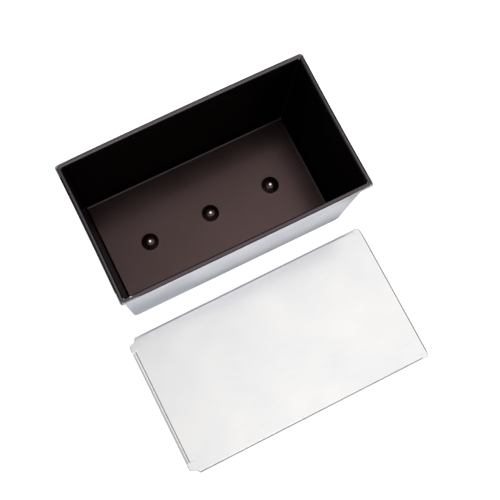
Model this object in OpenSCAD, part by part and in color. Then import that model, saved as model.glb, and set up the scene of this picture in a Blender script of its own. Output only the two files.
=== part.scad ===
// Pullman loaf pan with its sliding lid, in millimetres.
// The pan is one folded sheet whose rim is rolled round a loop of wire. The lid is one bent sheet.
// The origin is the centre of the pan's underside. +X runs along the pan and +Z points up.
// The lid lies on the table in front of the pan, top side up, with its stop lip towards -X.

/* [Pan] */
// Length over the rolled rim
rim_l = 204; // [196:1:230]
// Width over the rolled rim
rim_w = 116; // [112:1:130]
// Height from the underside to the top of the rim
pan_h = 110; // [70:1:130]
// Length of the base, over the bends at the foot of the walls
base_l = 183.6; // [170:0.2:194]
// Width of the base, over the bends at the foot of the walls
base_w = 101.4; // [90:0.2:108]
// Thickness of the pan's sheet
sheet_t = 0.8; // [0.6:0.1:1.2]
// Outer radius of the bend between the floor and the walls
bend_r = 3.2; // [2:0.1:6]

/* [Rolled rim] */
// Outer diameter of the roll
bead_d = 4.2; // [3.6:0.1:6]
// Inner radius of the rim's corners
rim_corner_r = 1; // [0.6:0.1:3]
// Angle that the sheet goes round the wire
roll_angle = 300; // [270:5:305]
// Width of the slit where two sides of the roll meet at a corner
mitre_gap = 0.4; // [0.2:0.05:0.8]
// Clearance all round between the wire and the roll
wire_clearance = 0.05; // [0.03:0.01:0.15]
// Gap between the two ends of the wire
wire_gap = 0.5; // [0.2:0.1:2]

/* [Folded corners] */
// Width of each corner flap under the rim
flap_w = 34; // [20:1:38]
// Height of the flap's lowest point above the underside
flap_start = 7; // [7:1:20]
// Gap between the flaps and the roll above them
flap_gap = 0.5; // [0.3:0.1:4]
// Distance from the long walls' faces to the edge of the flap
flap_inset = 0.2; // [0.1:0.1:1]

/* [Vents] */
// Number of domed vents in the floor
vent_count = 3; // [1:1:3]
// Distance from one vent to the next
vent_pitch = 55.3; // [20:0.1:60]
// Diameter of each dome where it leaves the floor
dome_d = 14.4; // [8:0.1:18]
// Diameter of the flat crown of each dome
crown_d = 6.2; // [4:0.1:7]
// Height of each dome above the floor
dome_h = 2.6; // [1.2:0.1:3]
// Diameter of the hole in each crown
vent_d = 1.8; // [1:0.1:3]

/* [Lid] */
// Thickness of the lid's sheet
lid_t = 0.6; // [0.5:0.1:1]
// Gap on each side between the rim and the lid's channels
side_clearance = 0.8; // [0.3:0.1:2]
// Height that the channels leave free above the rim
lift_clearance = 1.1; // [0.9:0.1:2]
// Length of the lid beyond the rim's, both ends together
lid_overhang = 8; // [7:0.5:20]
// Outer radius of the channels' bends
channel_r = 1.7; // [1.2:0.1:2.4]
// Width of the lips that hook under the rim
lip_w = 3.6; // [2.8:0.1:4]
// Distance from the stop end of the lid to its channels
stop_setback = 7.5; // [6:0.5:12]
// Distance from the open end of the lid to its channels
open_setback = 6.5; // [5:0.5:12]

/* [Lid ends] */
// Angle that the stop lip leans outwards
stop_lean = 25; // [5:1:35]
// Height of the stop lip's edge above the lid's underside
stop_foot = 0.4; // [0.2:0.1:2]
// Distance from each side of the lid to the stop lip and to the hem
end_inset = 10.5; // [8:0.5:20]
// Width of the slits between the stop lip and the corners beside it
relief = 0.8; // [0.4:0.1:2]
// Width of the hem that is folded under the open end
hem_w = 6; // [3:0.5:12]
// Distance from the channels' outer faces to the corners at the stop end
stop_corner_inset = 3.6; // [2.6:0.1:6]
// Distance from the channels' outer faces to the corners at the open end
open_corner_inset = 0.2; // [0.1:0.1:3]
// Radius of the corners at the stop end
stop_corner_r = 2.2; // [1:0.1:2.4]
// Radius of the corners at the open end
open_corner_r = 4.5; // [2:0.1:4.8]

/* [Where the lid lies] */
// Distance of the lid's middle from the pan's, along the pan
lid_x = -2.5; // [-20:0.5:20]
// Gap between the pan's rim and the lid
lid_gap = 7.5; // [4:0.5:60]
// Turn of the lid on the table
lid_turn = 0.5; // [-1:0.1:1]

/* [Hidden] */
$fn = 96;

// How far each cutting shape runs past what it cuts
past = 1;

// Rolled rim
bead_r = bead_d / 2;
roll_r = bead_r - sheet_t;
wire_d = 2 * (roll_r - wire_clearance);
bead_z = pan_h - bead_r;
mouth_l = rim_l - 2 * bead_d;
mouth_w = rim_w - 2 * bead_d;

// Angles that the walls lean outwards, above the bends at their feet
end_lean = atan((mouth_l / 2 + sheet_t - base_l / 2) / (bead_z - bend_r));
side_lean = atan((mouth_w / 2 + sheet_t - base_w / 2) / (bead_z - bend_r));

// Lid
lid_l = rim_l + lid_overhang;
lid_w = rim_w + 2 * side_clearance + 2 * lid_t;
lid_h = bead_d + lift_clearance + 2 * lid_t;
lid_y = -(rim_w + lid_w) / 2 - lid_gap;
channel_start = -lid_l / 2 + stop_setback;
channel_end = lid_l / 2 - open_setback;
stop_len = (lid_h - lid_t - stop_foot) / cos(stop_lean);
stop_bend_x = -lid_l / 2 + stop_len * sin(stop_lean) + lid_t * cos(stop_lean);
lip_half = lid_w / 2 - end_inset;

// Outline of the pan across two facing walls, set in by inset from its outside
module wall_profile(base, mouth, inset, top) {
    foot = base / 2 - inset;
    reach = foot + (mouth / 2 + sheet_t - base / 2) * (top - bend_r) / (bead_z - bend_r);
    polygon([[-foot, bend_r], [foot, bend_r], [reach, top], [-reach, top]]);
    translate([bend_r - base / 2, inset]) square([base - 2 * bend_r, bend_r]);
    for (side = [-1, 1]) {
        translate([side * (base / 2 - bend_r), bend_r]) circle(bend_r - inset);
    }
}

// Solid basin between four leaning walls
module basin(inset, top) {
    intersection() {
        rotate([90, 0, 0])
            linear_extrude(2 * rim_w, center = true) wall_profile(base_l, mouth_l, inset, top);
        rotate([90, 0, 90])
            linear_extrude(2 * rim_l, center = true) wall_profile(base_w, mouth_w, inset, top);
    }
}

// Room for the wire where it turns each corner, cut from the corners of the walls
module corner_notches() {
    for (x = [0, 1], y = [0, 1]) {
        mirror([x, 0, 0]) mirror([0, y, 0])
            translate([mouth_l / 2 - rim_corner_r, mouth_w / 2 - rim_corner_r, pan_h - bead_d]) {
                difference() {
                    cube([bead_d, bead_d, bead_d]);
                    cylinder(h = 2 * (bead_d + past), r = rim_corner_r + sheet_t, center = true);
                }
            }
    }
}

// Carries a section round the rim. The section's +X points away from the pan, from the wire's centre.
module around_rim() {
    for (turn = [0 : 3]) {
        along = turn % 2 == 0 ? mouth_l : mouth_w;
        across = turn % 2 == 0 ? mouth_w : mouth_l;
        rotate([0, 0, 90 * turn]) {
            translate([0, -across / 2 - bead_r, bead_z])
                rotate([90, 0, -90])
                    linear_extrude(along - 2 * rim_corner_r, center = true) children();
            translate([along / 2 - rim_corner_r, rim_corner_r - across / 2, bead_z])
                rotate([0, 0, -90])
                    rotate_extrude(angle = 90) translate([rim_corner_r + bead_r, 0]) children();
        }
    }
}

// Section of the sheet where it goes round the wire and ends beside the wall
module roll_section() {
    end_angle = 180 - roll_angle;
    difference() {
        circle(bead_r);
        circle(roll_r);
        polygon([
            [0, 0], [-bead_d, 0], [-bead_d, -bead_d],
            [bead_d * cos(end_angle), bead_d * sin(end_angle)]
        ]);
    }
}

// Roll on all four sides, slit at each corner
module roll() {
    difference() {
        around_rim() roll_section();
        for (x = [-1, 1], y = [-1, 1]) {
            translate([x * (mouth_l / 2 - rim_corner_r), y * (mouth_w / 2 - rim_corner_r), bead_z])
                rotate([0, 0, atan2(y, x)])
                    translate([0, -mitre_gap / 2, -bead_d])
                        cube([rim_corner_r + bead_d + past, mitre_gap, 2 * bead_d]);
        }
    }
}

// Spare sheet of the four corners, folded double and laid flat against the end walls
module corner_flaps() {
    layers = 2;
    root = sheet_t / 2;
    low_rise = flap_start - bend_r;
    high_rise = pan_h - bead_d - flap_gap - bend_r;
    low_y = base_w / 2 + low_rise * tan(side_lean) - flap_inset;
    high_y = base_w / 2 + high_rise * tan(side_lean) - flap_inset;
    low = low_rise / cos(end_lean);
    high = high_rise / cos(end_lean);
    for (x = [0, 1], y = [0, 1]) {
        mirror([x, 0, 0]) mirror([0, y, 0])
            translate([base_l / 2, 0, bend_r])
                rotate([0, end_lean, 0])
                    translate([-root, 0, 0])
                        rotate([90, 0, 90])
                            linear_extrude(layers * sheet_t + root)
                                polygon([[low_y, low], [high_y, high], [high_y - flap_w, high]]);
    }
}

// Places what follows at each vent in the floor
module at_vents() {
    for (i = [0 : vent_count - 1]) {
        translate([(i - (vent_count - 1) / 2) * vent_pitch, 0, 0]) children();
    }
}

// Truncated cone with a dome's outline, standing on z = 0
module dome() {
    cylinder(h = dome_h, d1 = dome_d, d2 = crown_d);
}

// Folded sheet: floor, four walls, rolled rim, corner flaps and domed vents
module pan_sheet() {
    color("#4b403f")
    difference() {
        union() {
            difference() {
                basin(0, bead_z);
                basin(sheet_t, pan_h);
                corner_notches();
            }
            roll();
            corner_flaps();
            at_vents() translate([0, 0, sheet_t]) dome();
        }
        at_vents() {
            dome();
            cylinder(h = dome_h + 2 * past, d = vent_d);
        }
    }
}

// One length of wire inside the roll, its two ends facing each other behind the pan
module rim_wire() {
    color("silver")
    difference() {
        around_rim() circle(d = wire_d);
        translate([-wire_gap / 2, mouth_w / 2, bead_z - bead_r]) cube([wire_gap, bead_d, bead_d]);
    }
}

// Flat end of the lid from x = start to x = end, with two round corners at its far end
module lid_end(start, end, half, r) {
    translate([start, -half]) square([end - r - start, 2 * half]);
    translate([end - 2 * r, r - half]) square([2 * r, 2 * (half - r)]);
    for (side = [-1, 1]) {
        translate([end - r, side * (half - r)]) circle(r);
    }
}

// Outline of the lid's flat top, without the channels, the stop lip and the hem
module lid_outline() {
    flat = lid_w / 2 - channel_r;
    difference() {
        union() {
            translate([channel_start, -flat]) square([channel_end - channel_start, 2 * flat]);
            mirror([1, 0]) lid_end(-channel_start, lid_l / 2, lid_w / 2 - stop_corner_inset, stop_corner_r);
            lid_end(channel_end, lid_l / 2, lid_w / 2 - open_corner_inset, open_corner_r);
        }
        translate([-lid_l / 2 - past, -lip_half - relief])
            square([stop_bend_x + lid_l / 2 + past, 2 * (lip_half + relief)]);
    }
}

// Section of one channel, which is open on its left and hooks under the rim. inset makes its inside.
module channel_section(inset) {
    r = channel_r - inset;
    reach = lip_w - channel_r;
    translate([-inset, inset]) square([reach + inset, lid_h - 2 * inset]);
    translate([-inset, channel_r]) square([lip_w, lid_h - 2 * channel_r]);
    for (z = [channel_r, lid_h - channel_r]) {
        translate([reach, z]) circle(r);
    }
}

// Channel on one side of the lid, from its stop end to its open end
module channel() {
    translate([channel_start, lid_w / 2 - lip_w, 0])
        rotate([90, 0, 90])
            linear_extrude(channel_end - channel_start)
                difference() {
                    channel_section(0);
                    channel_section(lid_t);
                }
}

// Lip that stops the lid against the end of the rim, and by which it is pulled
module stop_lip() {
    translate([stop_bend_x, 0, lid_h - lid_t]) {
        rotate([90, 0, 0]) cylinder(h = 2 * lip_half, r = lid_t, center = true);
        rotate([0, stop_lean, 0])
            translate([-lid_t, -lip_half, -stop_len]) cube([lid_t, 2 * lip_half, stop_len]);
    }
}

// Edge folded flat under the open end
module hem() {
    root = lid_t / 2;
    translate([lid_l / 2 - hem_w, -lip_half, lid_h - 2 * lid_t])
        cube([hem_w - lid_t, 2 * lip_half, lid_t + root]);
    translate([lid_l / 2 - lid_t, 0, lid_h - lid_t])
        rotate([90, 0, 0]) cylinder(h = 2 * lip_half, r = lid_t, center = true);
}

// Lid: flat top, a channel along each side, a stop lip at one end and a hem at the other
module lid_sheet() {
    color("#dcdcdf")
    translate([lid_x, lid_y, 0])
        rotate([0, 0, lid_turn]) {
            difference() {
                translate([0, 0, lid_h - lid_t]) linear_extrude(lid_t) lid_outline();
                translate([lid_l / 2 - lid_t, -lip_half, lid_h - 2 * lid_t])
                    cube([lid_t + past, 2 * lip_half, 2 * lid_t + past]);
            }
            channel();
            mirror([0, 1, 0]) channel();
            stop_lip();
            hem();
        }
}

pan_sheet();
rim_wire();
lid_sheet();
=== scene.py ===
# %% [markdown]
# # A pullman loaf pan and its lid
# A pullman pan bakes a square loaf. It is folded from one sheet, its rim is rolled round a loop of wire,
# and its lid is a second sheet that slides along that rim. Here the lid lies on the table in front of the
# pan. The frame gives the sizes and places of the real parts. This file gives them their folds, bows and
# finishes.

# %% Load the frame
import bmesh
import bpy
import math
from mathutils import Matrix, Vector


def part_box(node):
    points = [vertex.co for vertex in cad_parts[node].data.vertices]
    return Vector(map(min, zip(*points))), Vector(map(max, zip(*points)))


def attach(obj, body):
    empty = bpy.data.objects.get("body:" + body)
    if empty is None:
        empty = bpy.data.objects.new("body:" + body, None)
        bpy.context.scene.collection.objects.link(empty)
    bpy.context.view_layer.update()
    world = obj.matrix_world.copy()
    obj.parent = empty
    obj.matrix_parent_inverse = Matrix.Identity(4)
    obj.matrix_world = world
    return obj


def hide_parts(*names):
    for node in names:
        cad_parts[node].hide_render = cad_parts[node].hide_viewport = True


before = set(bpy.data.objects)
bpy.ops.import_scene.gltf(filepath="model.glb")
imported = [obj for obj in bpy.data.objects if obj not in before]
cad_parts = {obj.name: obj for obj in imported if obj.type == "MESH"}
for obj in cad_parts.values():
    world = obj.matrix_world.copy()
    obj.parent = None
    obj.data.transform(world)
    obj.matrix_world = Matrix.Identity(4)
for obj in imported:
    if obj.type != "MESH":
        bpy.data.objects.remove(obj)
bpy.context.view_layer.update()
print("the frame holds", sorted(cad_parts))

# %% [markdown]
# Everything is in metres, so a small unit makes the sizes readable. The rim, the wire and the lid are
# measured on the frame. The sheet's thickness and the places of folds can't be read from a box, so they are
# written out.

# %% Measure the frame
MM = 0.001
pan_low, pan_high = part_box("pan_sheet")
wire_low, wire_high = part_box("rim_wire")
lid_low, lid_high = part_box("lid_sheet")
rim_l = pan_high.x - pan_low.x
rim_w = pan_high.y - pan_low.y
pan_h = pan_high.z
bead_z = (wire_low.z + wire_high.z) / 2
bead_r = pan_h - bead_z
wire_r = (wire_high.z - wire_low.z) / 2
print(f"rim {rim_l / MM:.1f} x {rim_w / MM:.1f} mm, {pan_h / MM:.1f} mm high, roll {2 * bead_r / MM:.2f} mm")

# %% Sizes of the folded pan
sheet_t = 0.8 * MM
base_l = 183.6 * MM
base_w = 101.4 * MM
bend_r = 2.8 * MM
corner_r = 1 * MM
floor_corner_r = 0.6 * MM
roll_angle = math.radians(300)
mitre_gap = 0.25 * MM
mouth_l = rim_l - 4 * bead_r
mouth_w = rim_w - 4 * bead_r
print(f"mouth {mouth_l / MM:.1f} x {mouth_w / MM:.1f} mm")

# %% [markdown]
# Modelling by hand means picking faces and edges by eye. A script picks them by their place instead: `pick`
# selects all the vertices, edges or faces whose middle passes a test, and NEAR is how close to a place
# counts as on it. Nothing else stays selected, because an operator acts on all that is.

# %% Tools for picking and moving
NEAR = 0.01 * MM


def pick(kind, test):
    bpy.ops.mesh.select_mode(type=kind)
    bpy.ops.mesh.select_all(action="DESELECT")
    mesh = bmesh.from_edit_mesh(bpy.context.object.data)
    found = 0
    for part in {"VERT": mesh.verts, "EDGE": mesh.edges, "FACE": mesh.faces}[kind]:
        corners = [part.co] if kind == "VERT" else [v.co for v in part.verts]
        if test(sum(corners, Vector()) / len(corners), part):
            part.select_set(True)
            found += 1
    mesh.select_flush_mode()
    bmesh.update_edit_mesh(bpy.context.object.data)
    return found


def extrude(dx, dy, dz):
    bpy.ops.mesh.extrude_edges_move(TRANSFORM_OT_translate={"value": (dx, dy, dz)})


def cut(axis, place):
    normal = Vector((0, 0, 0))
    normal[axis] = 1
    bpy.ops.mesh.select_all(action="SELECT")
    bpy.ops.mesh.bisect(plane_co=normal * place, plane_no=normal)


def merge_points():
    bpy.ops.mesh.select_all(action="SELECT")
    bpy.ops.mesh.remove_doubles(threshold=NEAR / 10)


# %% [markdown]
# A sheet-metal piece is easiest as a bare surface that gets its thickness at the end. `start_plane` adds
# the rectangle that each one grows from, and `thicken` gives the wall: Solidify pushes a copy of the
# surface away from its normals, so the modelled side stays where it is. It also notes the new side's points
# in a vertex group.

# %% Start and thicken a sheet
def start_plane(name, length, width, z):
    bpy.ops.object.select_all(action="DESELECT")
    bpy.ops.mesh.primitive_plane_add(size=1, location=(0, 0, z))
    piece = bpy.context.object
    piece.name = name
    piece.data.name = name
    piece.scale = (length, width, 1)
    bpy.ops.object.transform_apply(location=True, rotation=False, scale=True)
    bpy.ops.object.mode_set(mode="EDIT")
    return piece


def make_active(piece):
    bpy.ops.object.select_all(action="DESELECT")
    piece.select_set(True)
    bpy.context.view_layer.objects.active = piece


def apply_modifier(piece, kind, **settings):
    make_active(piece)
    modifier = piece.modifiers.new(kind.lower(), kind)
    for name, value in settings.items():
        setattr(modifier, name, value)
    bpy.ops.object.modifier_apply(modifier=modifier.name)


def thicken(piece, thickness):
    other_side = piece.vertex_groups.new(name="other_side")
    apply_modifier(piece, "SOLIDIFY", thickness=thickness, offset=-1, use_even_offset=True,
                   shell_vertex_group=other_side.name)
    print(f"{piece.name}: {len(piece.data.vertices)} vertices, {len(piece.data.polygons)} faces")


# %% [markdown]
# ## The folded pan
# The real pan starts as a flat blank. Its four sides are folded up, the spare sheet of the corners is
# folded flat against the ends, and the top edge is rolled outwards round the wire. A rounded rectangle is
# extruded ring by ring along the same path: round the bend at the floor, up the leaning wall, and round the
# wire. The surface modelled is the coated one, which shows inside the pan and on the outside of the roll.

# %% Table of rings: half length, half width, height and corner radius
CORNER_STEPS = 6
BEND_STEPS = 6
WALL_STEPS = 6
ROLL_STEPS = 24
inner_bend = bend_r - sheet_t
foot_growth = 0.2
tip_growth = 0.36


def step_through(steps):
    return [(i + 1) / steps for i in range(steps)]


rings = [(base_l / 2 - bend_r, base_w / 2 - bend_r, sheet_t, floor_corner_r)]
for t in step_through(BEND_STEPS):
    out, rise = inner_bend * math.sin(t * math.pi / 2), inner_bend * (1 - math.cos(t * math.pi / 2))
    rings.append((rings[0][0] + out, rings[0][1] + out, sheet_t + rise, floor_corner_r + foot_growth * out))
foot = rings[-1]
for t in step_through(WALL_STEPS):
    top = (mouth_l / 2, mouth_w / 2, bead_z, corner_r)
    rings.append(tuple(low + (high - low) * t for low, high in zip(foot, top)))
for t in step_through(ROLL_STEPS):
    angle = math.pi - roll_angle * t
    out = bead_r * (1 + math.cos(angle))
    height = bead_z + bead_r * math.sin(angle)
    rings.append((mouth_l / 2 + out, mouth_w / 2 + out, height, corner_r + tip_growth * out))
print(len(rings), "rings from the floor to the end of the roll")

# %% [markdown]
# Each new ring is the last one extruded straight up. Then each of its four corners is scaled about its own
# centre, which changes the corner's radius, and moved, which leans the wall. The corners of the roll grow
# less than the roll is wide, so its tips come out nearly sharp, as where two rolled sides are mitred.

# %% Extrude one ring after another
def select_again(indices, test):
    bpy.ops.mesh.select_all(action="DESELECT")
    mesh = bmesh.from_edit_mesh(bpy.context.object.data)
    mesh.verts.ensure_lookup_table()
    for i in indices:
        mesh.verts[i].select_set(test(mesh.verts[i].co))
    mesh.select_flush(True)


def next_ring(old, new):
    extrude(0, 0, new[2] - old[2])
    ring = [v.index for v in bmesh.from_edit_mesh(bpy.context.object.data).verts if v.select]
    growth = new[3] / old[3]
    for sx in (-1, 1):
        for sy in (-1, 1):
            select_again(ring, lambda co: co.x * sx > 0 and co.y * sy > 0)
            centre = (sx * (old[0] - old[3]), sy * (old[1] - old[3]), 0)
            bpy.ops.transform.resize(value=(growth, growth, 1), center_override=centre)
            moved = [sign * ((new[i] - new[3]) - (old[i] - old[3])) for i, sign in ((0, sx), (1, sy))]
            bpy.ops.transform.translate(value=(*moved, 0))
    select_again(ring, lambda co: True)


# %% Fold up the walls and roll the rim
pan = start_plane("pan_folded_sheet", 2 * rings[0][0], 2 * rings[0][1], sheet_t)
bpy.ops.mesh.bevel(offset=floor_corner_r, segments=CORNER_STEPS, affect="VERTICES")
bpy.ops.mesh.select_all(action="SELECT")
bpy.ops.mesh.select_mode(type="VERT")
for old, new in zip(rings, rings[1:]):
    next_ring(old, new)
pan_mesh = bmesh.from_edit_mesh(pan.data)
pan_top = max(v.co.z for v in pan_mesh.verts)
print(f"pan: {len(pan_mesh.verts)} vertices after the roll, top at {pan_top / MM:.2f} mm")

# %% [markdown]
# Where two sides of the roll meet, the real sheet is cut at 45 degrees and a fine slit stays between the
# two cut edges. Bevelling the diagonal edges of the roll gives a strip as wide as the slit, and deleting
# it opens the roll. Later the points beside the slit are given the dark coat as painted shade, so that the
# slit reads dark.

# %% Slit the roll at its corners
def on_mitre(place, part):
    steps = [abs(v.co.x) - abs(v.co.y) for v in part.verts]
    on_diagonal = all(abs(step - (mouth_l - mouth_w) / 2) < NEAR for step in steps)
    in_corner = abs(place.x) > mouth_l / 2 - 0.3 * corner_r and abs(place.y) > mouth_w / 2 - 0.3 * corner_r
    return on_diagonal and in_corner and place.z > bead_z - 1.01 * bead_r


print("mitre edges", pick("EDGE", on_mitre))
bpy.ops.mesh.bevel(offset=mitre_gap / 2, segments=1, affect="EDGES")
bpy.ops.mesh.delete(type="FACE")

# %% [markdown]
# ## The vents
# Three vents let air out from under the dough. A punch lifts the floor into a low cone with a rounded crown
# and pierces its middle. Cutting the floor by planes leaves a square round each vent. Its edges are
# divided, an inset ring of the same count is rounded with To Sphere, and that circle is extruded and scaled
# up the cone. Where the profile turns down towards the hole, an inset takes the place of the extrusion. A
# few more cuts across the floor and the walls give the rim points to bow with later.

# %% Cut the sheet where it bows and where the vents go
vent_pitch = 55.3 * MM
vent_square = 11 * MM
vent_places = [-vent_pitch, 0, vent_pitch]
end_cut = 81 * MM
side_cuts = (27 * MM, 41 * MM)
for place in vent_places:
    cut(0, place - vent_square)
    cut(0, place + vent_square)
for side in (-1, 1):
    cut(0, side * vent_pitch / 2)
    cut(0, side * end_cut)
    for place in (vent_square, *side_cuts):
        cut(1, side * place)
print(len(bmesh.from_edit_mesh(pan.data).faces), "faces after the cuts")

# %% Profile of a vent, as radius and height above the floor
SQUARE_CUTS = 7
margin = 0.1 * MM
ring_inset = vent_square / 5
crown_inset = 0.1 * MM
hole_r = 0.9 * MM
vent_profile = [(r * MM, z * MM) for r, z in (
    (7.45, 0), (7.2, 0.05), (7.0, 0.15), (6.8, 0.28), (5.6, 0.98), (4.4, 1.68), (3.8, 2.01), (3.2, 2.28),
    (2.6, 2.49), (2.0, 2.63), (1.5, 2.69), (1.2, 2.68), (1.0, 2.6), (0.9, 2.45))]
print(f"each vent rises {max(z for r, z in vent_profile) / MM:.2f} mm")

# %% Measure the selected ring
def selected_radius(x):
    mesh = bmesh.from_edit_mesh(bpy.context.object.data)
    return max((v.co.xy - Vector((x, 0))).length for v in mesh.verts if v.select)


def selected_height():
    mesh = bmesh.from_edit_mesh(bpy.context.object.data)
    return max(v.co.z for v in mesh.verts if v.select)


# %% Raise the vents
def raise_vent(x):
    half = vent_square + margin
    pick("FACE", lambda place, part: (place - Vector((x, 0, sheet_t))).length < margin)
    bpy.ops.mesh.delete(type="ONLY_FACE")
    pick("EDGE", lambda place, part: max(abs(place.x - x), abs(place.y)) < half and place.z < 1.1 * sheet_t)
    bpy.ops.mesh.subdivide(number_cuts=SQUARE_CUTS)
    bpy.ops.mesh.edge_face_add()
    bpy.ops.mesh.select_mode(type="FACE")
    bpy.ops.mesh.inset(thickness=ring_inset)
    bpy.ops.transform.tosphere(value=1)
    height = 0
    for new_radius, new_height in vent_profile:
        if new_height > height:
            bpy.ops.mesh.extrude_region_move(TRANSFORM_OT_translate={"value": (0, 0, new_height - height)})
        else:
            bpy.ops.mesh.inset(thickness=crown_inset)
        growth = new_radius / selected_radius(x)
        bpy.ops.transform.resize(value=(growth, growth, 1), center_override=(x, 0, 0))
        bpy.ops.transform.translate(value=(0, 0, new_height - selected_height() + sheet_t))
        height = new_height
    hole = selected_radius(x)
    bpy.ops.mesh.delete(type="FACE")
    return hole


for vent_x in vent_places:
    print(f"hole radius {raise_vent(vent_x) / MM:.2f} mm at x {vent_x / MM:.1f} mm")

# %% [markdown]
# The mesh is merged where points meet, and its normals are made to agree before it gets its thickness.
# Solidify would otherwise push some faces the wrong way.

# %% Give the pan its thickness
merge_points()
bpy.ops.mesh.normals_make_consistent(inside=False)
pan_mesh = bmesh.from_edit_mesh(pan.data)
floor_faces = [f for f in pan_mesh.faces if f.calc_center_median().z < MM]
floor_face = max(floor_faces, key=lambda f: f.calc_area())
if floor_face.normal.z < 0:
    bpy.ops.mesh.flip_normals()
bpy.ops.object.mode_set(mode="OBJECT")
thicken(pan, sheet_t)

# %% [markdown]
# ## Where the coat ends
# The pan is sprayed inside before its rim is rolled, so the brown coat runs up the walls and over the roll,
# and the rest of the sheet stays bare. The same mesh shows both finishes, so each point stores how coated
# it is, and the material reads that attribute. The value falls slowly across the outside of the roll, where
# the spray thinned out, sooner on the front than elsewhere, and the tips of the roll are worn bare. The
# points beside the slits at the corners keep the dark coat as painted shade, so that the slits read dark.
# Two more attributes follow: how burnished a point is, near the rim, and whether it lies in the bend at
# the floor, which is painted darker as shade in that crease. Angles round the roll are in degrees: 90 at
# its top, 0 on its outside, and 180 where it meets the wall. A little below that height the angle of the
# wall itself comes out near -180.
# How far out a point lies on a rounded corner is found in a few tries, because the corner's radius grows
# with it.

# %% How far round the roll a point lies
ANGLE_TRIES = 6


def rim_angle(place):
    x, y = abs(place.x) - mouth_l / 2, abs(place.y) - mouth_w / 2
    out = max(x, y)
    for attempt in range(ANGLE_TRIES):
        radius = corner_r + tip_growth * out
        corner_x, corner_y = x - out + radius, y - out + radius
        if min(corner_x, corner_y) > 0:
            out += math.hypot(corner_x, corner_y) - radius
    return math.degrees(math.atan2(place.z - bead_z, out - bead_r))


rim_top = Vector((mouth_l / 2 + bead_r, 0, bead_z + bead_r))
print("the roll's top lies at", round(rim_angle(rim_top)), "degrees")

# %% Where the coat lies
worn_tip = 4 * MM
bare_round_hole = 0.12 * MM
floor_zone = 5 * MM
spray_edge = math.radians(-15)
front_spray_edge = math.radians(40)
wall_angle = -150


def in_slit(place):
    x, y = abs(place.x) - mouth_l / 2, abs(place.y) - mouth_w / 2
    return abs(x - y) < mitre_gap and min(x, y) > -corner_r and place.z > bead_z


def on_tip(place):
    return abs(place.x) + abs(place.y) > (rim_l + rim_w) / 2 - worn_tip and place.z > bead_z - bead_r


def coat_of(place, on_other_side):
    in_hole = min((place.xy - Vector((x, 0))).length for x in vent_places) < hole_r + bare_round_hole
    # Painted shade: points beside the slit keep the dark coat, so that the slit reads dark.
    if in_slit(place):
        return 1
    if on_other_side or (in_hole and place.z < floor_zone) or on_tip(place):
        return 0
    angle = rim_angle(place)
    if place.z < bead_z - bead_r or angle > 90 or angle < wall_angle:
        return 1
    on_front = -place.y - mouth_w / 2 > abs(place.x) - mouth_l / 2
    edge = front_spray_edge if on_front else spray_edge
    return min(max(math.radians(angle) - edge + 0.5, 0), 1)


# %% Paint the coat on the points
other_side = pan.vertex_groups["other_side"].index
coat = pan.data.attributes.new("coat", "FLOAT", "POINT")
for vertex in pan.data.vertices:
    behind = any(g.group == other_side and g.weight > 0.5 for g in vertex.groups)
    coat.data[vertex.index].value = coat_of(vertex.co, behind)
print("coated points", sum(1 for value in coat.data if value.value > 0.5), "of", len(coat.data))

# %% Note the burnished rim and the painted shade in the bend at the floor
bend_shade_start = 0.1 * MM
bend_shade_height = 4 * MM
burnish = pan.data.attributes.new("burnish", "FLOAT", "POINT")
for vertex in pan.data.vertices:
    burnish.data[vertex.index].value = min(max((vertex.co.z - bead_z) / MM + 1, 0), 1)
# Painted shade: points in the bend at the floor are marked, and the inner finish darkens them.
painted_bend_shade = pan.data.attributes.new("painted_bend_shade", "FLOAT", "POINT")
for vertex in pan.data.vertices:
    past_floor = max(abs(vertex.co.x) - base_l / 2, abs(vertex.co.y) - base_w / 2) + bend_r
    painted_bend_shade.data[vertex.index].value = float(past_floor > bend_shade_start and vertex.co.z < bend_shade_height)
print("points in the bend at the floor", sum(1 for value in painted_bend_shade.data if value.value > 0.5))

# %% [markdown]
# ## The folded corners
# The spare sheet of each corner is a triangle that is folded double and pressed flat against the end wall.
# It is modelled as it is folded: one triangle on the wall, a half turn along its slanted edge, and a second
# triangle on top. The outer layer then turns a quarter round the pan's upright corner, and its tail runs
# into the long side. One corner is modelled lying down, and the four are copies of it.

# %% Sizes of a folded corner
flap_w = 34 * MM
flap_low = 4.5 * MM
flap_high = pan_h - 2 * bead_r - 0.5 * MM
end_lean = math.atan((mouth_l / 2 + sheet_t - base_l / 2) / (bead_z - bend_r))
side_lean = math.atan((mouth_w / 2 + sheet_t - base_w / 2) / (bead_z - bend_r))
layer_gap = 0.05 * MM
fold_r = (sheet_t + layer_gap) / 2
wrap_r = 2.2 * MM
wrap_tail = 3.6 * MM
proud = 0.02 * MM
fold_edge_r = 0.12 * MM


def side_outside(z):
    return base_w / 2 + (z - bend_r) * math.tan(side_lean)


print(f"the ends lean {math.degrees(end_lean):.1f} degrees, the sides {math.degrees(side_lean):.1f}")

# %% Triangle of one corner
flap = start_plane("pan_corner_fold", 2 * MM, 2 * MM, 0)
pick("VERT", lambda place, part: place.x > 0 and place.y > 0)
bpy.ops.mesh.delete(type="VERT")
pick("VERT", lambda place, part: True)
bpy.ops.mesh.edge_face_add()
inset_y = wrap_r - proud
tuck = sheet_t / 2 + fold_r
flap_corners = [(flap_low, side_outside(flap_low) - inset_y),
                (flap_high, side_outside(flap_high) - inset_y),
                (flap_high, side_outside(flap_high) - flap_w + tuck)]
flap_mesh = bmesh.from_edit_mesh(flap.data)
for vertex, (height, y) in zip(flap_mesh.verts, flap_corners):
    vertex.co = Vector(((height - bend_r) / math.cos(end_lean), y, 0))
bmesh.update_edit_mesh(flap.data)
print("corners of the fold, in millimetres:", [tuple(round(c / MM, 1) for c in v) for v in flap_corners])

# %% Fold the triangle double
def flap_direction(start, end):
    return Vector((end[0] - start[0], end[1] - start[1], 0)).normalized()


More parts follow.
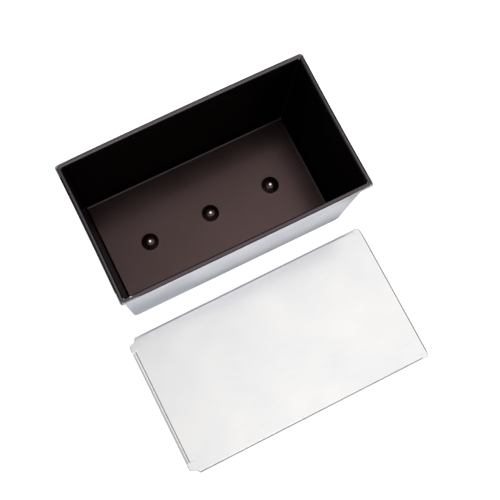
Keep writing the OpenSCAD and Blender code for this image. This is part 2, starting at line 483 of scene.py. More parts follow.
def runs_along(part, direction):
    start, end = [v.co for v in part.verts]
    return abs((end - start).normalized().dot(direction)) > 0.9999


def selected_point():
    mesh = bmesh.from_edit_mesh(bpy.context.object.data)
    return next(v.co.copy() for v in mesh.verts if v.select)


slant = flap_direction(flap_corners[0], flap_corners[2])
upright = flap_direction(flap_corners[0], flap_corners[1])
print("slanted edges", pick("EDGE", lambda place, part: runs_along(part, slant)))
slant_point = selected_point()
bpy.ops.mesh.spin(steps=6, angle=math.pi, center=slant_point + Vector((0, 0, fold_r)), axis=slant)
pick("FACE", lambda place, part: len(part.verts) == 3)
bpy.ops.mesh.duplicate_move(TRANSFORM_OT_translate={"value": (0, 0, 2 * fold_r)})
merge_points()

# %% [markdown]
# Spin turns the upright edge of the outer layer round the corner, and a short extrusion is the tail. The
# tail goes into a vertex group, and Solidify leaves it only a third of the thickness. So it ends inside the
# long wall and doesn't come out in the pan.

# %% Wrap the outer layer round the corner
top_layer = 1.9 * fold_r
tail_share = 0.3
found = pick("EDGE", lambda place, part: place.z > top_layer and runs_along(part, upright))
print("upright edges", found)
wrap_middle = wrap_r - sheet_t / 2
edge_point = selected_point()
bpy.ops.mesh.spin(steps=6, angle=math.pi / 2, center=edge_point - Vector((0, 0, wrap_middle)), axis=upright)
extrude(0, 0, -wrap_tail)
bpy.ops.object.vertex_group_assign_new()
merge_points()
bpy.ops.mesh.normals_make_consistent(inside=False)
bpy.ops.transform.translate(value=(0, 0, sheet_t / 2 + layer_gap))
bpy.ops.object.mode_set(mode="OBJECT")
tail = flap.vertex_groups[-1].name
apply_modifier(flap, "SOLIDIFY", thickness=sheet_t, offset=0, use_even_offset=True, vertex_group=tail,
               invert_vertex_group=True, thickness_vertex_group=tail_share)
apply_modifier(flap, "BEVEL", width=fold_edge_r, segments=2, limit_method="ANGLE")
print(f"corner fold: {len(flap.data.polygons)} faces, {flap.dimensions.z / MM:.2f} mm thick")

# %% [markdown]
# The triangle was modelled lying down, with X up the wall. A matrix stands it against the end wall, which
# leans, and a mirrored copy of that matrix serves the other corners. Mirroring turns faces inside out, so
# their normals are made to point outwards again.

# %% Place the four corner folds
def place_copy(source, name, matrix):
    copy = source.copy()
    copy.data = source.data.copy()
    copy.name = name
    bpy.context.collection.objects.link(copy)
    copy.data.transform(matrix)
    if matrix.to_3x3().determinant() < 0:
        copy.data.flip_normals()
    return copy


up_wall = Vector((math.sin(end_lean), 0, math.cos(end_lean)))
off_wall = Vector((math.cos(end_lean), 0, -math.sin(end_lean)))
standing = Matrix((up_wall, Vector((0, -1, 0)), off_wall)).transposed().to_4x4()
standing.translation = Vector((base_l / 2, 0, bend_r))
folds = []
for sx in (-1, 1):
    for sy in (-1, 1):
        matrix = Matrix.Diagonal((sx, sy, 1, 1)) @ standing
        folds.append(place_copy(flap, f"pan_corner_fold_{len(folds)}", matrix))
bpy.data.objects.remove(flap)
print(len(folds), "corner folds")

# %% [markdown]
# Pinching the roll shut crushed its coat, and small bright spots of bare metal stayed at the rim's corners.
# Each is a flattened sphere, mostly sunk in the roll. The folds and these spots are joined to the pan,
# because they are the same sheet.

# %% Pinch marks: place and radii in millimetres
pinch_marks = [((-98.2, -54.1, 109.1), (0.75, 0.75, 0.85)), ((-93, -55, 109.7), (1.4, 0.6, 0.25)),
               ((99.35, 54.4, 109.1), (0.8, 0.7, 0.6)), ((-98.8, 54, 109), (0.8, 0.6, 0.6))]
for place, radii in pinch_marks:
    bpy.ops.object.select_all(action="DESELECT")
    bpy.ops.mesh.primitive_uv_sphere_add(segments=20, ring_count=12, radius=MM, location=Vector(place) * MM)
    mark = bpy.context.object
    mark.scale = radii
    bpy.ops.object.transform_apply(location=True, rotation=False, scale=True)
    folds.append(mark)
make_active(pan)
for fold in folds:
    fold.select_set(True)
bpy.ops.object.join()
print(f"{pan.name} with its folds: {len(pan.data.polygons)} faces")

# %% [markdown]
# ## The wire in the rim
# One length of steel wire stiffens the rim. It shows only in the slits of the roll and from below. The same
# rounded rectangle, without its face, becomes a curve, and the curve's bevel gives it the wire's thickness.

# %% Bend the wire
wire_gap = 0.5 * MM
wire = start_plane("rim_wire_loop", mouth_l + 2 * bead_r, mouth_w + 2 * bead_r, bead_z)
bpy.ops.mesh.bevel(offset=corner_r + tip_growth * bead_r, segments=8, affect="VERTICES")
pick("FACE", lambda place, part: True)
bpy.ops.mesh.delete(type="ONLY_FACE")
for side in (-1, 1):
    cut(0, side * wire_gap / 2)
    for place in (0.3, 0.6, 0.9):
        cut(0, side * place * mouth_l / 2)
        cut(1, side * place * mouth_w / 2)
pick("EDGE", lambda place, part: place.y > 0 and all(abs(v.co.x) < 0.6 * wire_gap for v in part.verts))
bpy.ops.mesh.delete(type="EDGE")
bpy.ops.object.mode_set(mode="OBJECT")
bpy.ops.object.convert(target="CURVE")
wire.data.bevel_depth = wire_r
wire.data.bevel_resolution = 4
wire.data.use_fill_caps = True
bpy.ops.object.convert(target="MESH")
print(f"wire: {len(wire.data.vertices)} vertices, {2 * wire_r / MM:.1f} mm thick")

# %% [markdown]
# ## The bow of the rim
# A folded pan is never quite straight. The long sides of this rim bow outwards a little, its short ends bow
# inwards, and the flat floor sits a little off the rim's middle. A lattice round the pan does this: its top
# points bow the rim, its low points shift the floor, and the walls follow.

# %% Bow the rim
bow_back = 0.6 * MM
bow_front = 0.15 * MM
bow_end = 0.5 * MM
foot_shift = Vector((-0.7 * MM, 0.3 * MM))
LATTICE_POINTS = 7
bpy.ops.object.select_all(action="DESELECT")
bpy.ops.object.add(type="LATTICE", location=(0, 0, pan_h / 2))
cage = bpy.context.object
cage.scale = (rim_l, rim_w, pan_h)
cage.data.points_u = cage.data.points_v = LATTICE_POINTS
cage.data.points_w = 2
cage.data.interpolation_type_u = cage.data.interpolation_type_v = "KEY_CARDINAL"
cage.data.interpolation_type_w = "KEY_LINEAR"
for point in cage.data.points:
    if point.co.z < 0:
        point.co_deform += Vector((foot_shift.x / rim_l, foot_shift.y / rim_w, 0))
    else:
        u, v = 2 * point.co.x, 2 * point.co.y
        side_move = -max(v, 0) * bow_back * u * u + min(v, 0) * bow_front * (1 - u * u)
        end_move = -u * bow_end * (1 - v * v)
        point.co_deform += Vector((end_move / rim_l, side_move / rim_w, 0))
for piece in (pan, wire):
    apply_modifier(piece, "LATTICE", object=cage)
bpy.data.objects.remove(cage)
print("the back side bows", bow_back / MM, "mm")

# %% [markdown]
# ## The sliding lid
# The lid is one thin sheet. Along each long side it is bent into a channel that hooks under the rim, one
# end is bent down as a stop lip, and the other end is folded flat under itself as a hem. Its outer surface
# is modelled flat at the origin and bent edge by edge, as on a brake press, and moved to its place on the
# table at the end.

# %% Sizes of the lid
lid_t = 0.6 * MM
lid_l = 212 * MM
lid_w = 118.8 * MM
lid_h = lid_high.z
channel_r = 2.2 * MM
channel_lip = 3.6 * MM
channel_start = -98.5 * MM
channel_end = 99.5 * MM
lip_half = 48.4 * MM
hem_half = 55.6 * MM
relief = 0.3 * MM
flat_half = lid_w / 2 - channel_r
tab_reach = lid_w / 2 - 0.05 * MM
print(f"lid {lid_l / MM:.0f} x {lid_w / MM:.1f} x {lid_h / MM:.1f} mm")

# %% [markdown]
# The flat top is cut lengthwise where the lip and the hem end. A narrow strip beside each cut stays unbent:
# it is the relief that keeps a bend from tearing the sheet next to it.

# %% Flat top of the lid
lid = start_plane("sliding_lid", channel_end - channel_start, 2 * flat_half, lid_h)
bpy.ops.mesh.select_all(action="SELECT")
bpy.ops.transform.translate(value=((channel_start + channel_end) / 2, 0, 0))
for side in (-1, 1):
    for place in (lip_half, lip_half + relief, hem_half, hem_half + relief):
        cut(1, side * place)
print(len(bmesh.from_edit_mesh(lid.data).faces), "strips")

# %% [markdown]
# A bend is an edge that is spun round an axis beside it. Spin turns clockwise about its axis, so `bend`
# turns the axis round. The channel has two bends with a straight wall between them. The same helper makes
# the lip and the hem, which turn less far and further.

# %% Bend an edge round an axis
def bend(centre, axis, degrees, steps):
    clockwise = [-part for part in axis]
    bpy.ops.mesh.spin(steps=steps, angle=math.radians(degrees), center=centre, axis=clockwise)


def pick_top_edge(test):
    return pick("EDGE", lambda place, part: place.z > lid_h - NEAR and test(place))


for side in (-1, 1):
    edges = pick_top_edge(lambda place: abs(place.y - side * flat_half) < NEAR)
    bend((0, side * flat_half, lid_h - channel_r), (-side, 0, 0), 90, 6)
    extrude(0, 0, 2 * channel_r - lid_h)
    bend((0, side * flat_half, channel_r), (-side, 0, 0), 90, 6)
    extrude(0, side * (channel_r - channel_lip), 0)
    print("channel edges", edges)

# %% [markdown]
# At one end the sheet between the channels is bent down, at a lean, as the lip that stops the lid at the
# rim.

# %% Stop lip
stop_lean = math.radians(25)
stop_foot = 0.4 * MM
stop_bend_x = -102.2 * MM
stop_bend_r = 1.4 * MM
pick_top_edge(lambda place: abs(place.x - channel_start) < NEAR and abs(place.y) < lip_half)
extrude(stop_bend_x - channel_start, 0, 0)
bend((stop_bend_x, 0, lid_h - stop_bend_r), (0, -1, 0), 90 - math.degrees(stop_lean), 8)
lip_top = lid_h - stop_bend_r + stop_bend_r * math.sin(stop_lean)
lip_drop = lip_top - stop_foot - lid_t * math.sin(stop_lean)
extrude(-lip_drop * math.tan(stop_lean), 0, -lip_drop)
print("stop lip drops", round(lip_drop / MM, 2), "mm")

# %% [markdown]
# Beside the lip, the flat sheet runs on as a short gusset that narrows from the channel's full width, and
# then as a tab. Moving two points back makes the gusset's slant, and a bevel of one vertex rounds the tab's
# outer corner.

# %% Sizes of the tabs at the stop end
gusset = 2.1 * MM
slant_back = 0.7 * MM
tab_half = hem_half + relief
tab_end = 0.05 * MM - lid_l / 2
tab_taper = 1.2 * MM
tab_draw = 0.2 * MM
tab_round = 2 * MM
print(f"each tab reaches {(channel_start - tab_end) / MM:.2f} mm past the channels")

# %% Tabs at the stop end
for side in (-1, 1):
    pick_top_edge(lambda place: abs(place.x - channel_start) < NEAR
                  and lip_half + relief < side * place.y < flat_half)
    extrude(-gusset, 0, 0)
    pick_top_edge(lambda place: channel_start - gusset < place.x < channel_start
                  and abs(side * place.y - flat_half) < NEAR)
    extrude(0, side * (tab_reach - flat_half), 0)
    for reach, back in ((flat_half, slant_back), (tab_reach, gusset)):
        pick("VERT", lambda place, part: abs(place.x - channel_start + gusset) < NEAR
             and abs(side * place.y - reach) < NEAR)
        bpy.ops.transform.translate(value=(back, 0, 0))
    pick_top_edge(lambda place: abs(place.x - channel_start + gusset) < NEAR
                  and lip_half + relief < side * place.y < tab_half)
    extrude(gusset - channel_start + tab_end, 0, 0)
    pick_top_edge(lambda place: place.x < channel_start - NEAR
                  and abs(side * place.y - hem_half) < NEAR)
    bpy.ops.mesh.dissolve_edges(use_verts=True)
    corners = pick("VERT", lambda place, part: place.x < tab_end + NEAR
                   and side * place.y > tab_half - NEAR)
    bpy.ops.transform.translate(value=(tab_draw, -side * tab_taper, 0))
    bpy.ops.mesh.bevel(offset=tab_round, segments=6, affect="VERTICES")
    print("rounded corners of the tab", corners)

# %% [markdown]
# The other end slides over the rim, so its edge is folded flat under itself into a blunt hem. Flat tabs
# reach out beside it over the ends of the channels. The one at the back has the rounder corner.

# %% Hem and its tabs
hem_end = lid_l / 2 - 0.1 * MM
hem_w = 6 * MM
hem_r = 1.3 * MM
hem_tab_end = lid_l / 2 - 0.4 * MM
hem_tab_round = {-1: 2.2 * MM, 1: 3.8 * MM}
pick_top_edge(lambda place: abs(place.x - channel_end) < NEAR and abs(place.y) < hem_half)
extrude(hem_end - hem_r - channel_end, 0, 0)
bend((hem_end - hem_r, 0, lid_h - hem_r), (0, 1, 0), 180, 10)
extrude(hem_r - hem_w, 0, 0)
for side in (-1, 1):
    def beside_channel(place):
        return place.x > channel_end + MM and abs(side * place.y - flat_half) < NEAR

    pick_top_edge(lambda place: abs(place.x - channel_end) < NEAR
                  and hem_half + relief < side * place.y < flat_half)
    extrude(hem_tab_end - channel_end, 0, 0)
    pick_top_edge(beside_channel)
    extrude(0, side * (tab_reach - flat_half), 0)
    pick_top_edge(beside_channel)
    bpy.ops.mesh.dissolve_edges(use_verts=True)
    corners = pick("VERT", lambda place, part: place.x > hem_tab_end - NEAR
                   and side * place.y > tab_reach - NEAR)
    bpy.ops.mesh.bevel(offset=hem_tab_round[side], segments=8, affect="VERTICES")
    print("rounded corners of the tab", corners)

# %% [markdown]
# The cut edges of the tabs are turned down a little, so that none stays sharp. The edges that have a face
# on one side only are extruded down, and the new crease is bevelled round.

# %% Turn the cut edges of the tabs down
tab_turn = 0.7 * MM
turned_depth = 1.4 * tab_turn


def past_channel(place):
    stop_side = place.x < channel_start - NEAR and abs(place.y) > lip_half + relief + NEAR
    hem_side = place.x > channel_end + NEAR and abs(place.y) > hem_half + relief + NEAR
    return (stop_side or hem_side) and place.z > lid_h - NEAR


merge_points()
print("cut edges of the tabs", pick("EDGE", lambda place, part: past_channel(place) and part.is_boundary))
extrude(0, 0, -turned_depth)
print("turned edges", pick("EDGE", lambda place, part: past_channel(place) and part.calc_face_angle(0) > 1))
bpy.ops.mesh.bevel(offset=tab_turn, segments=4, affect="EDGES")

# %% [markdown]
# Solidify gives the lid its thickness, and a fine bevel rounds its cut edges. Then the mesh is moved to
# where the lid lies on the table, turned by half a degree.

# %% Thickness and place of the lid
lid_place = (-2.5 * MM, -124.9 * MM, 0.002 * MM)
lid_turn = math.radians(0.5)
lid_edge_r = 0.22 * MM
merge_points()
bpy.ops.mesh.normals_make_consistent(inside=False)
top_face = max(bmesh.from_edit_mesh(lid.data).faces, key=lambda f: f.calc_area())
if top_face.normal.z < 0:
    bpy.ops.mesh.flip_normals()
bpy.ops.object.mode_set(mode="OBJECT")
thicken(lid, lid_t)
apply_modifier(lid, "BEVEL", width=lid_edge_r, segments=3, limit_method="ANGLE",
               angle_limit=math.radians(60), use_clamp_overlap=False)
lid.data.transform(Matrix.Translation(lid_place) @ Matrix.Rotation(lid_turn, 4, "Z"))
for axis in range(3):
    places = [v.co[axis] / MM for v in lid.data.vertices]
    print(f"lid from {min(places):.1f} to {max(places):.1f} mm,",
          f"in the frame from {lid_low[axis] / MM:.1f} to {lid_high[axis] / MM:.1f} mm")

# %% [markdown]
# Smooth shading hides the steps of the bends, but it spreads their shade over the flat sheet beside them.
# The Weighted Normal modifier gives the large flat faces their own normals back.

# %% Smooth the bends
for piece in (pan, wire, lid):
    make_active(piece)
    bpy.ops.object.shade_smooth_by_angle(angle=math.radians(35))
    apply_modifier(piece, "WEIGHTED_NORMAL", keep_sharp=True)
    print(piece.name, "has smooth bends")

# %% [markdown]
# ## Finishes
# Two effects are on every piece of metal here, so each is a node group: `grain` gives the fine tooth of a
# sprayed or rolled surface, and `cloudy` gives the slow change of tone that heat, oil and handling leave.
# Both read Object coordinates in metres, so a scale of 1000 makes features of about a millimetre.

# %% Build a node group
def new_group(name, values, outputs):
    group = bpy.data.node_groups.new(name, "ShaderNodeTree")
    group.interface.new_socket("Vector", in_out="INPUT", socket_type="NodeSocketVector")
    for label, default in values.items():
        socket = group.interface.new_socket(label, in_out="INPUT", socket_type="NodeSocketFloat")
        socket.default_value = default
    for label, kind in outputs.items():
        group.interface.new_socket(label, in_out="OUTPUT", socket_type=f"NodeSocket{kind}")
    ends = group.nodes.new("NodeGroupInput"), group.nodes.new("NodeGroupOutput")
    return group, ends[0].outputs, ends[1].inputs


# %% Add nodes and mix what they give
def add(tree, kind, **inputs):
    node = tree.nodes.new("ShaderNode" + kind)
    for name, value in inputs.items():
        socket = node.inputs[int(name[1:])] if name[1:].isdigit() else node.inputs[name.replace("_", " ")]
        if isinstance(value, bpy.types.NodeSocket):
            tree.links.new(value, socket)
        else:
            socket.default_value = (*value, 1) if socket.type == "RGBA" and len(value) == 3 else value
    return node


def math_node(tree, operation, first, second=0.5):
    node = add(tree, "Math", i0=first, i1=second)
    node.operation = operation
    return node.outputs[0]


def mix_colors(tree, mask, first, second):
    node = tree.nodes.new("ShaderNodeMix")
    node.data_type = "RGBA"
    for socket, value in ((node.inputs[0], mask), (node.inputs[6], first), (node.inputs[7], second)):
        if isinstance(value, bpy.types.NodeSocket):
            tree.links.new(value, socket)
        else:
            socket.default_value = (*value, 1) if socket.type == "RGBA" else value
    return node.outputs[2]


def mix_values(tree, mask, low, high):
    return add(tree, "Mix", i0=mask, i2=low, i3=high).outputs[0]


def count_nodes(name, tree):
    print(f"{name}: {len(tree.nodes)} nodes")


# %% Grain: fine tooth, stretched along the sheet as far as Stretch says
grain, given, result = new_group("grain", {"Scale": 1500, "Stretch": 1}, {"Value": "Float"})
squeeze = add(grain, "CombineXYZ", X=math_node(grain, "DIVIDE", 1.0, given["Stretch"]), Y=1.0, Z=1.0)
stretched = add(grain, "VectorMath", i0=given["Vector"], i1=squeeze.outputs[0])
stretched.operation = "MULTIPLY"
tooth = add(grain, "TexNoise", Vector=stretched.outputs[0], Scale=given["Scale"], Detail=3.0, Roughness=0.6)
grain.links.new(tooth.outputs["Fac"], result["Value"])
count_nodes("grain", grain)

# %% Cloudy: slow change of tone from 0 to 1
cloudy, given, result = new_group("cloudy", {"Scale": 30}, {"Value": "Float"})
broad = add(cloudy, "TexNoise", Vector=given["Vector"], Scale=given["Scale"], Detail=4.0, Roughness=0.55)
spread = add(cloudy, "MapRange", Value=broad.outputs["Fac"], From_Min=0.3, From_Max=0.7)
cloudy.links.new(spread.outputs[0], result["Value"])
count_nodes("cloudy", cloudy)

# %% Place a group in a material or in another group
def place_group(tree, group, vector, **values):
    node = tree.nodes.new("ShaderNodeGroup")
    node.node_tree = group
    tree.links.new(vector, node.inputs["Vector"])
    for name, value in values.items():
        node.inputs[name].default_value = value
    return node.outputs


# %% [markdown]
# The pan is aluminised steel with a dark brown non-stick coat. The coat hardly scatters light: what shows
# is a dull brownish reflection of what is above, so it is made as a dark metal. Each finish is a group that
# puts out a color, a roughness and a height. The pan's two materials share them.

# %% Brown coat
COAT = {"Color": "Color", "Roughness": "Float", "Height": "Float"}
brown_coat, given, result = new_group("brown_coat", {}, COAT)
fine = place_group(brown_coat, grain, given["Vector"], Scale=2600)["Value"]
slow = place_group(brown_coat, cloudy, given["Vector"], Scale=22)["Value"]
brown = mix_colors(brown_coat, slow, (0.106, 0.069, 0.068), (0.127, 0.083, 0.082))
speckled = mix_colors(brown_coat, math_node(brown_coat, "MULTIPLY", fine, 0.4), brown, (0.07, 0.045, 0.044))
brown_coat.links.new(speckled, result["Color"])
brown_coat.links.new(mix_values(brown_coat, slow, 0.22, 0.26), result["Roughness"])
brown_coat.links.new(fine, result["Height"])
count_nodes("brown_coat", brown_coat)

# %% Bare aluminised sheet
bare_sheet, given, result = new_group("bare_sheet", {}, COAT)
slow = place_group(bare_sheet, cloudy, given["Vector"], Scale=26)["Value"]
rolled = place_group(bare_sheet, grain, given["Vector"], Scale=900, Stretch=14)["Value"]
silver = mix_colors(bare_sheet, slow, (0.74, 0.76, 0.83), (0.84, 0.86, 0.91))
bare_sheet.links.new(silver, result["Color"])
bare_sheet.links.new(mix_values(bare_sheet, rolled, 0.26, 0.42), result["Roughness"])
bare_sheet.links.new(rolled, result["Height"])
count_nodes("bare_sheet", bare_sheet)

# %% [markdown]
# A material starts as one Principled BSDF. The inside of the pan has the coat alone. Its edge tint is dark,
# because a matt coat seen at a glancing angle doesn't mirror as plain metal does, and Metallic stays just
# under 1, which leaves the dark walls a trace of their own color. Near the rim the coat is burnished, and
# the bend at the floor is painted darker, as shade in the crease.

# %% Start a material
def new_material(name):
    material = bpy.data.materials.new(name)
    material.use_nodes = True
    tree = material.node_tree
    place = tree.nodes.new("ShaderNodeTexCoord").outputs["Object"]
    return material, tree, tree.nodes["Principled BSDF"], place


def point_value(tree, attribute):
    node = tree.nodes.new("ShaderNodeAttribute")
    node.attribute_name = attribute
    return node.outputs["Fac"]


# %% Inside of the pan
inside_finish, tree, shader, place = new_material("coated_inside")
coat_out = place_group(tree, brown_coat, place)
burnished = point_value(tree, "burnish")
worn_color = mix_colors(tree, burnished, coat_out["Color"], (0.125, 0.11, 0.122))
# Painted shade: the bend at the floor is darkened as shade in the crease.
painted_bend_shade_color = mix_colors(tree, point_value(tree, "painted_bend_shade"), worn_color, (0.045, 0.037, 0.038))
tree.links.new(painted_bend_shade_color, shader.inputs["Base Color"])
tree.links.new(mix_values(tree, burnished, coat_out["Roughness"], 0.2), shader.inputs["Roughness"])
shader.inputs["Metallic"].default_value = 0.975
shader.inputs["Specular Tint"].default_value = (0.1, 0.09, 0.095, 1)
bump = add(tree, "Bump", Height=coat_out["Height"], Strength=0.3, Distance=0.00006)
tree.links.new(bump.outputs[0], shader.inputs["Normal"])
count_nodes("coated_inside", tree)

# %% [markdown]
# The roll and the outside mix the two finishes by the `coat` attribute. Noise breaks up the line between
# them, as overspray does. Rolling burnished the coat on the rim, so it is glossier there.

# %% Roll and outside of the pan
outside_finish, tree, shader, place = new_material("coated_sheet")
coat_out = place_group(tree, brown_coat, place)
bare_out = place_group(tree, bare_sheet, place)
ragged = place_group(tree, grain, place, Scale=1400, Stretch=3)["Value"]
ragged = math_node(tree, "MULTIPLY", math_node(tree, "SUBTRACT", ragged, 0.5), 0.3)
ragged = math_node(tree, "ADD", point_value(tree, "coat"), ragged)
coated = add(tree, "MapRange", Value=ragged, From_Min=0.44, From_Max=0.56).outputs[0]
tree.links.new(mix_colors(tree, coated, bare_out["Color"], coat_out["Color"]), shader.inputs["Base Color"])
tree.links.new(mix_values(tree, coated, bare_out["Roughness"], 0.22), shader.inputs["Roughness"])
shader.inputs["Metallic"].default_value = 1
bump = add(tree, "Bump", Height=mix_values(tree, coated, bare_out["Height"], coat_out["Height"]),
           Strength=0.2, Distance=0.00005)
tree.links.new(bump.outputs[0], shader.inputs["Normal"])
count_nodes("coated_sheet", tree)

# %% [markdown]
# The lid is bare sheet too, but thinner and brighter, with a satin face that carries faint rolling lines.

# %% Satin sheet of the lid
lid_finish, tree, shader, place = new_material("satin_sheet")
slow = place_group(tree, cloudy, place, Scale=20)["Value"]
rolled = place_group(tree, grain, place, Scale=1100, Stretch=18)["Value"]
tone = mix_colors(tree, slow, (0.91, 0.905, 0.91), (0.985, 0.97, 0.955))
tone = mix_colors(tree, math_node(tree, "MULTIPLY", rolled, 0.12), tone, (0.8, 0.8, 0.82))
tree.links.new(tone, shader.inputs["Base Color"])
shader.inputs["Metallic"].default_value = 1
tree.links.new(mix_values(tree, rolled, 0.2, 0.3), shader.inputs["Roughness"])
bump = add(tree, "Bump", Height=rolled, Strength=0.15, Distance=0.00004)
tree.links.new(bump.outputs[0], shader.inputs["Normal"])
count_nodes("satin_sheet", tree)

# %% [markdown]
# Drawn steel wire is greyer and duller than the sheet, and its tone changes slowly along its length.

# %% Drawn wire
wire_finish, tree, shader, place = new_material("steel_wire")
slow = place_group(tree, cloudy, place, Scale=60)["Value"]
fine = place_group(tree, grain, place, Scale=2500)["Value"]
tree.links.new(mix_colors(tree, slow, (0.4, 0.38, 0.37), (0.56, 0.55, 0.55)), shader.inputs["Base Color"])
shader.inputs["Metallic"].default_value = 1
tree.links.new(mix_values(tree, fine, 0.3, 0.5), shader.inputs["Roughness"])
count_nodes("steel_wire", tree)

# %% [markdown]
# Each piece takes its finish, rides on its body and stands in for its node of the frame. The pan gets two
# materials: the faces whose points are all well coated show the inner finish, and all others show the mixed
# one.

# %% Give each piece its finish and its body
for piece, finish, body, node, slot in ((pan, outside_finish, "pan", "pan_sheet", "coated_sheet"),
                                        (wire, wire_finish, "pan", "rim_wire", "steel_wire"),
                                        (lid, lid_finish, "lid", "lid_sheet", "bare_sheet")):
    piece.data.materials.clear()
    piece.data.materials.append(finish)
    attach(piece, body)
    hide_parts(node)
    print(f"{piece.name} rides on {body} and shows {slot}")

# %% Faces inside the pan take the inner finish
well_coated = 0.99
pan.data.materials.append(inside_finish)
coat_values = [value.value for value in pan.data.attributes["coat"].data]
inside_faces = 0
for face in pan.data.polygons:
    if min(coat_values[i] for i in face.vertices) > well_coated:
        face.material_index = 1
        inside_faces += 1
print(inside_faces, "of", len(pan.data.polygons), "faces are inside")

# %% [markdown]
# ## The table and the light
# The object stands on a plain white table. The table glows a little for the camera, so that it reads as
# white and still takes the object's shadow, and less in reflections, where it has to leave the metal some
# tone.

# %% Table
def seen_rays(tree):
    rays = tree.nodes.new("ShaderNodeLightPath").outputs
    return rays, math_node(tree, "MAXIMUM", rays["Is Camera Ray"], rays["Is Transmission Ray"])


table_drop = 0.2 * MM
bpy.ops.object.select_all(action="DESELECT")
bpy.ops.mesh.primitive_plane_add(size=6, location=(0, 0, -table_drop))
table = bpy.context.object
table.name = "table"
table_finish, tree, shader, place = new_material("white_table")
tree.nodes.remove(shader)
rays, seen = seen_rays(tree)
seen_glow = math_node(tree, "MULTIPLY", seen, 0.65)
mirrored_glow = math_node(tree, "MULTIPLY", rays["Is Glossy Ray"], 0.4)
white = add(tree, "BsdfDiffuse", Color=(0.8, 0.8, 0.8))
glow = add(tree, "Emission", Strength=math_node(tree, "ADD", seen_glow, mirrored_glow))
both = add(tree, "AddShader", i0=white.outputs[0], i1=glow.outputs[0])
tree.links.new(both.outputs[0], tree.nodes["Material Output"].inputs["Surface"])
table.data.materials.append(table_finish)
count_nodes("white_table", tree)

# %% [markdown]
# One large soft lamp hangs overhead. A small bright one gives the vents and the rim their glints, and a
# third lights the sheet from the right. The large ones are hidden from reflections, where they would show
# as white squares.

# %% Lamps
def area_lamp(name, place, look_at, size, radiance):
    bpy.ops.object.light_add(type="AREA", location=place)
    lamp = bpy.context.object
    lamp.name = name
    lamp.data.size = size
    lamp.data.energy = radiance * math.pi * size * size
    lamp.rotation_euler = (Vector(look_at) - Vector(place)).to_track_quat("-Z", "Y").to_euler()
    print(name, f"{lamp.data.energy:.2f} W")
    return lamp


softbox = area_lamp("overhead_softbox", (-0.1, 0.1, 1.5), (0, 0, 0), 1.6, 0.9)
softbox.visible_glossy = False
area_lamp("front_glint", (0.05, -0.6, 1.6), (0, 0, 0), 0.06, 12)
window = area_lamp("right_window", (0.55, -0.35, 0.5), (0.05, -0.06, 0), 0.4, 3)
window.visible_glossy = False

# %% [markdown]
# Polished sheet only shows its bends when something dark stands round it. Photographers use black cards, so
# four stand round the table here. Grey scrims hang above it: they shade the back of the coated floor and
# the lid's left end. Thin cards lie on the table where the roll, the lid's bends and the foot of the front
# wall mirror it. The strips at the foot of the front wall and of the lid's stop lip are painted shadow: dark
# sheets where the table is shaded next to the sheet, there to be seen in its reflection. All are hidden
# from the camera and cast no shadow: only reflections see them. Each has two corners and a tone from 0 to 1.

# %% Make a card
def new_card(name, low, high, tone, tint=(1, 1, 1)):
    finish, tree, shader, place = new_material(name)
    tree.nodes.remove(shader)
    dull = add(tree, "Emission", Color=tint, Strength=tone)
    tree.links.new(dull.outputs[0], tree.nodes["Material Output"].inputs["Surface"])
    bpy.ops.object.select_all(action="DESELECT")
    bpy.ops.mesh.primitive_cube_add(size=1, location=(Vector(low) + Vector(high)) / 2)
    card = bpy.context.object
    card.name = name
    card.scale = Vector(high) - Vector(low)
    bpy.ops.object.transform_apply(location=True, rotation=False, scale=True)
    card.data.materials.append(finish)
    card.visible_camera = card.visible_diffuse = card.visible_shadow = False


# %% Place the cards and scrims
new_card("left_card", (-1.32, -1.3, 0), (-1.3, 1.3, 2.8), 0.06)
new_card("right_card", (1.3, -1.3, 0), (1.32, 1.3, 1.5), 0.08)
new_card("back_card", (-1.3, 1.3, 0), (1.3, 1.32, 0.6), 0.1)
new_card("front_card", (-1.3, -1.32, 0), (1.3, -1.3, 0.95), 0.06)
new_card("left_scrim", (-1.3, 0.33, 2), (0.03, 0.53, 2.01), 0.35)
new_card("middle_scrim", (0.03, 0.33, 2), (0.25, 0.53, 2.01), 0.75)
new_card("back_scrim", (-1.3, 0.53, 2), (1.3, 1.3, 2.01), 0.4)
new_card("lid_scrim", (-1.3, -1.3, 2), (-0.02, 0.33, 2.01), 0.85)
new_card("back_table_card", (-1.3, 0.075, 0), (1.3, 1.3, 0.0005), 0.2)
new_card("right_table_card", (0.125, -0.06, 0), (1.3, 0.07, 0.0005), 0.15)
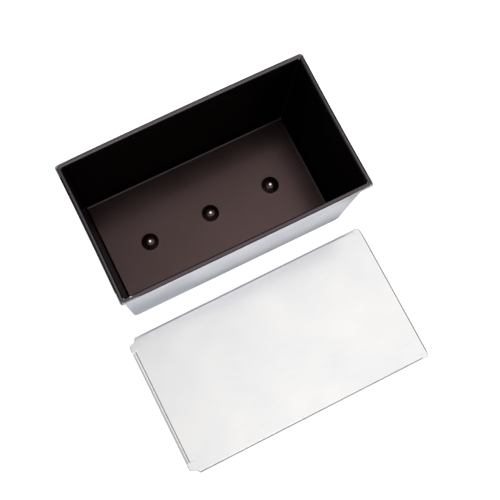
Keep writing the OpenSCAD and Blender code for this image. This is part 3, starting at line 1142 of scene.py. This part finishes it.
new_card("hem_table_card", (0.106, -0.187, 0), (1.3, -0.07, 0.0005), 0.03)
# Painted shadow: dark strips on the table at the foot of the lid's lip and of the front wall, seen only in
# reflections.
new_card("lip_shadow_card", (-0.1115, -0.177, 0), (-0.1088, -0.072, 0.0003), 0.45)
new_card("foot_shadow_card", (-0.04, -0.057, 0), (0.11, -0.0505, 0.0003), 0.36, (0.95, 0.97, 1))
new_card("left_foot_shadow_card", (-0.11, -0.075, 0), (-0.04, -0.0505, 0.0003), 0.5, (0.93, 0.96, 1))

# %% [markdown]
# The world is white to the camera and in reflections, and half as bright as a light on the object, so that
# the pale sheet doesn't clip.

# %% World
world = bpy.data.worlds.new("studio")
bpy.context.scene.world = world
world.use_nodes = True
tree = world.node_tree
rays, seen = seen_rays(tree)
seen = math_node(tree, "MAXIMUM", seen, rays["Is Glossy Ray"])
tree.links.new(mix_values(tree, seen, 0.5, 1), tree.nodes["Background"].inputs["Strength"])
tree.nodes["Background"].inputs["Color"].default_value = (1, 1, 1, 1)
count_nodes("world", tree)

# %% [markdown]
# ## The camera
# The photograph looks down steeply from the front left with a long lens. Its picture centre was cropped,
# and the camera's shift puts it back.

# %% Camera
azimuth, elevation, roll = math.radians(27.62), math.radians(76.74), math.radians(1.52)
look_at = Vector((-18.36, -18.59, 0)) * MM
distance = 878.68 * MM
forward = Vector((math.sin(azimuth) * math.cos(elevation), math.cos(azimuth) * math.cos(elevation),
                  -math.sin(elevation)))
right = Vector((math.cos(azimuth), -math.sin(azimuth), 0))
up = right.cross(forward)
right, up = math.cos(roll) * right + math.sin(roll) * up, math.cos(roll) * up - math.sin(roll) * right
bpy.ops.object.camera_add(location=look_at - distance * forward)
camera = bpy.context.object
camera.rotation_euler = Matrix((right, up, -forward)).transposed().to_euler()
camera.data.sensor_width = 36
camera.data.lens = 76.82
camera.data.shift_x = 0.0971
camera.data.shift_y = -0.0147
bpy.context.scene.camera = camera
bpy.context.scene.view_settings.view_transform = "Standard"
print(f"camera {camera.location.z:.2f} m above the table")
